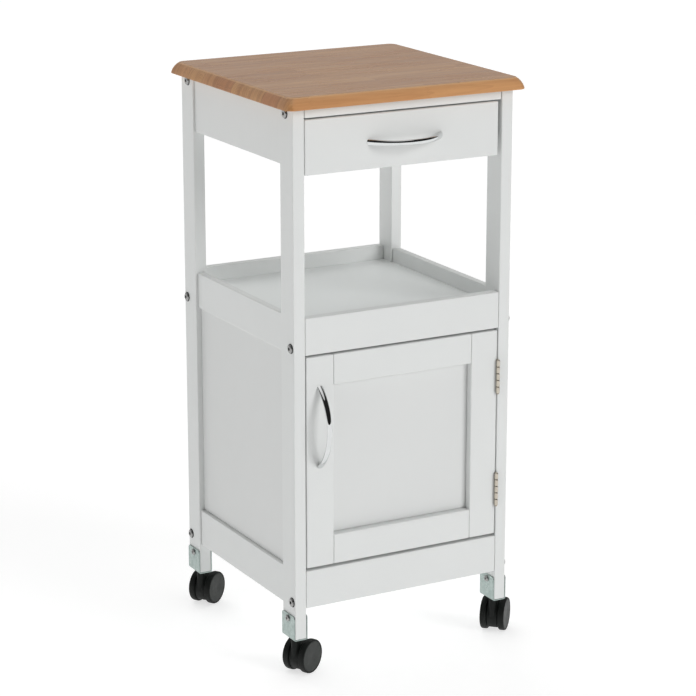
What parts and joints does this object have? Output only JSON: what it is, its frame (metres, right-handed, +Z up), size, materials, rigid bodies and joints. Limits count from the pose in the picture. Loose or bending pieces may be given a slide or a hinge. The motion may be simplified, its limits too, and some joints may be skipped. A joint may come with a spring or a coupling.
{
  "type": "kitchen trolley",
  "caption": "Rolling kitchen trolley: square wooden worktop over a drawer, an open tray shelf and a cupboard with a framed door, on swivel casters.",
  "frame": {"origin": "on the floor, at the middle of the whole footprint, with the handles and the trailing casters included; the middle of the leg frame is 9.8 mm to the left of it and 4.8 mm behind it", "axes": "+Z up, -Y towards the front (drawer and door), +X to the right of someone facing the front"},
  "size_m": [0.4006, 0.401, 0.8395],
  "materials": {
    "white_paint": "satin white paint on solid wood",
    "white_board": "satin white painted fibreboard",
    "honey_wood": "edge-glued honey-coloured wood, clear satin lacquer",
    "chrome": "polished",
    "zinc_plate": "zinc plated steel sheet",
    "nickel": "satin nickel plate",
    "black_plastic": "black nylon, fine grain",
    "catch_plastic": "off-white"
  },
  "bodies": {
    "frame": {"worktop": "honey_wood", "leg_front_left": "white_paint", "leg_front_right": "white_paint", "leg_rear_left": "white_paint", "leg_rear_right": "white_paint", "upper_rail_front": "white_paint", "upper_rail_rear": "white_paint", "tray_rail_front": "white_paint", "tray_rail_rear": "white_paint", "lower_rail_front": "white_paint", "lower_rail_rear": "white_paint", "apron_left": "white_paint", "apron_right": "white_paint", "tray_rail_left": "white_paint", "tray_rail_right": "white_paint", "lower_rail_left": "white_paint", "lower_rail_right": "white_paint", "side_panel_left": "white_board", "side_panel_right": "white_board", "drawer_runner_left": "white_board", "drawer_runner_right": "white_board", "back_panel": "white_board", "drawer_bay_back": "white_board", "tray_floor": "white_board", "cupboard_floor": "white_board", "magnetic_catch": "catch_plastic", "hinge_upper_frame_leaf": "nickel", "hinge_upper_pin": "nickel", "hinge_lower_frame_leaf": "nickel", "hinge_lower_pin": "nickel", "caster_front_left_bracket": "zinc_plate", "caster_front_right_bracket": "zinc_plate", "caster_rear_left_bracket": "zinc_plate", "caster_rear_right_bracket": "zinc_plate"},
    "drawer": {"drawer_front": "white_paint", "drawer_side_left": "white_board", "drawer_side_right": "white_board", "drawer_back": "white_board", "drawer_bottom": "white_board", "drawer_handle": "chrome"},
    "door": {"door_stile_latch": "white_paint", "door_stile_hinge": "white_paint", "door_rail_lower": "white_paint", "door_rail_upper": "white_paint", "door_panel": "white_board", "door_handle": "chrome", "hinge_upper_door_leaf": "nickel", "hinge_lower_door_leaf": "nickel"},
    "caster_front_left": {"caster_front_left_hood": "black_plastic"},
    "wheel_front_left_left": {"caster_front_left_wheel_left": "black_plastic"},
    "wheel_front_left_right": {"caster_front_left_wheel_right": "black_plastic"},
    "caster_front_right": {"caster_front_right_hood": "black_plastic"},
    "wheel_front_right_left": {"caster_front_right_wheel_left": "black_plastic"},
    "wheel_front_right_right": {"caster_front_right_wheel_right": "black_plastic"},
    "caster_rear_left": {"caster_rear_left_hood": "black_plastic"},
    "wheel_rear_left_left": {"caster_rear_left_wheel_left": "black_plastic"},
    "wheel_rear_left_right": {"caster_rear_left_wheel_right": "black_plastic"},
    "caster_rear_right": {"caster_rear_right_hood": "black_plastic"},
    "wheel_rear_right_left": {"caster_rear_right_wheel_left": "black_plastic"},
    "wheel_rear_right_right": {"caster_rear_right_wheel_right": "black_plastic"}
  },
  "joints": [
    {"name": "drawer_slide", "type": "slide", "parent": "frame", "child": "drawer", "axis": [0, -1, 0], "range_m": [0, 0.2]},
    {"name": "door_hinge", "type": "hinge", "parent": "frame", "child": "door", "pos_m": [0.14565, -0.1733, 0.3195], "axis": [0, 0, 1], "range_deg": [0, 170]},
    {"name": "caster_front_left_swivel", "type": "hinge", "parent": "frame", "child": "caster_front_left", "pos_m": [-0.1758, -0.1512, 0.053], "axis": [0, 0, 1], "continuous": true},
    {"name": "wheel_front_left_left_spin", "type": "hinge", "parent": "caster_front_left", "child": "wheel_front_left_left", "pos_m": [-0.15318, -0.15439, 0.025], "axis": [-0.4679, 0.8838, 0], "continuous": true},
    {"name": "wheel_front_left_right_spin", "type": "hinge", "parent": "caster_front_left", "child": "wheel_front_left_right", "pos_m": [-0.16572, -0.1307, 0.025], "axis": [-0.4679, 0.8838, 0], "continuous": true},
    {"name": "caster_front_right_swivel", "type": "hinge", "parent": "frame", "child": "caster_front_right", "pos_m": [0.1562, -0.1512, 0.053], "axis": [0, 0, 1], "continuous": true},
    {"name": "wheel_front_right_left_spin", "type": "hinge", "parent": "caster_front_right", "child": "wheel_front_right_left", "pos_m": [0.17876, -0.14759, 0.025], "axis": [-0.7071, 0.7071, 0], "continuous": true},
    {"name": "wheel_front_right_right_spin", "type": "hinge", "parent": "caster_front_right", "child": "wheel_front_right_right", "pos_m": [0.15981, -0.12864, 0.025], "axis": [-0.7071, 0.7071, 0], "continuous": true},
    {"name": "caster_rear_left_swivel", "type": "hinge", "parent": "frame", "child": "caster_rear_left", "pos_m": [-0.1758, 0.1608, 0.053], "axis": [0, 0, 1], "continuous": true},
    {"name": "wheel_rear_left_left_spin", "type": "hinge", "parent": "caster_rear_left", "child": "wheel_rear_left_left", "pos_m": [-0.15297, 0.16, 0.025], "axis": [-0.5577, 0.83, 0], "continuous": true},
    {"name": "wheel_rear_left_right_spin", "type": "hinge", "parent": "caster_rear_left", "child": "wheel_rear_left_right", "pos_m": [-0.16792, 0.18224, 0.025], "axis": [-0.5577, 0.83, 0], "continuous": true},
    {"name": "caster_rear_right_swivel", "type": "hinge", "parent": "frame", "child": "caster_rear_right", "pos_m": [0.1562, 0.1608, 0.053], "axis": [0, 0, 1], "continuous": true},
    {"name": "wheel_rear_right_left_spin", "type": "hinge", "parent": "caster_rear_right", "child": "wheel_rear_right_left", "pos_m": [0.17903, 0.16163, 0.025], "axis": [-0.6157, 0.788, 0], "continuous": true},
    {"name": "wheel_rear_right_right_spin", "type": "hinge", "parent": "caster_rear_right", "child": "wheel_rear_right_right", "pos_m": [0.16253, 0.18275, 0.025], "axis": [-0.6157, 0.788, 0], "continuous": true}
  ]
}
